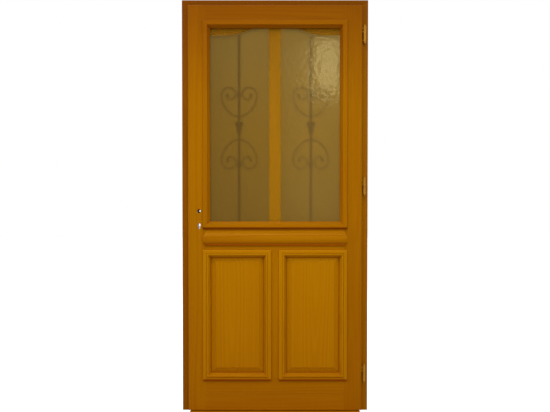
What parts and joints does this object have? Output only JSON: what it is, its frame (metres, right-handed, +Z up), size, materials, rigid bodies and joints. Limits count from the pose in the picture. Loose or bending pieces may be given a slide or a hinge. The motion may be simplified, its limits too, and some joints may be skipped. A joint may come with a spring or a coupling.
{
  "type": "glazed front door",
  "caption": "Panelled wooden front door leaf hung in its frame, with an arched textured-glass light, wrought iron scroll grilles, bolection-moulded panels and knuckle hinges.",
  "frame": {"origin": "on the wall face of the hinge jamb, at floor level and at half the depth of the frame", "axes": "+X along the wall, out of the hinge jamb's wall face; +Y from the room to the outside; +Z up"},
  "size_m": [0.966, 0.153, 2.137],
  "materials": {
    "varnished_wood": "satin varnish, honey to amber",
    "textured_glass": "hammered cathedral glass, amber tint",
    "wrought_iron": "blackened, satin",
    "hinge_brass": "satin brass plate",
    "lock_steel": "zinc plated",
    "seal_rubber": "matt dark brown"
  },
  "bodies": {
    "frame": {"hinge_jamb": "varnished_wood", "lock_jamb": "varnished_wood", "frame_head": "varnished_wood", "threshold": "varnished_wood", "frame_seal": "seal_rubber", "strike_plate": "lock_steel", "bottom_hinge_frame_half": "hinge_brass", "middle_hinge_frame_half": "hinge_brass", "top_hinge_frame_half": "hinge_brass"},
    "leaf": {"bottom_hinge_leaf_half": "hinge_brass", "bottom_rail": "varnished_wood", "glass": "textured_glass", "glazing_bead_crosspieces": "varnished_wood", "glazing_bead_uprights": "varnished_wood", "hinge_stile": "varnished_wood", "inside_band": "varnished_wood", "left_grille": "wrought_iron", "left_moulding_inside_crosspieces": "varnished_wood", "left_moulding_inside_uprights": "varnished_wood", "left_moulding_outside_crosspieces": "varnished_wood", "left_moulding_outside_uprights": "varnished_wood", "left_panel": "varnished_wood", "lock_bolts": "lock_steel", "lock_case": "lock_steel", "lock_follower": "lock_steel", "lock_forend": "lock_steel", "lock_rail": "varnished_wood", "lock_stile": "varnished_wood", "middle_hinge_leaf_half": "hinge_brass", "mullion": "varnished_wood", "muntin": "varnished_wood", "outside_band": "varnished_wood", "right_grille": "wrought_iron", "right_moulding_inside_crosspieces": "varnished_wood", "right_moulding_inside_uprights": "varnished_wood", "right_moulding_outside_crosspieces": "varnished_wood", "right_moulding_outside_uprights": "varnished_wood", "right_panel": "varnished_wood", "top_hinge_leaf_half": "hinge_brass", "top_rail": "varnished_wood", "weather_bar": "varnished_wood"}
  },
  "joints": [
    {"name": "leaf_hinge", "type": "hinge", "parent": "frame", "child": "leaf", "pos_m": [-0.02, -0.048, 1.1], "axis": [0, 0, 1], "range_deg": [0, 120]}
  ]
}
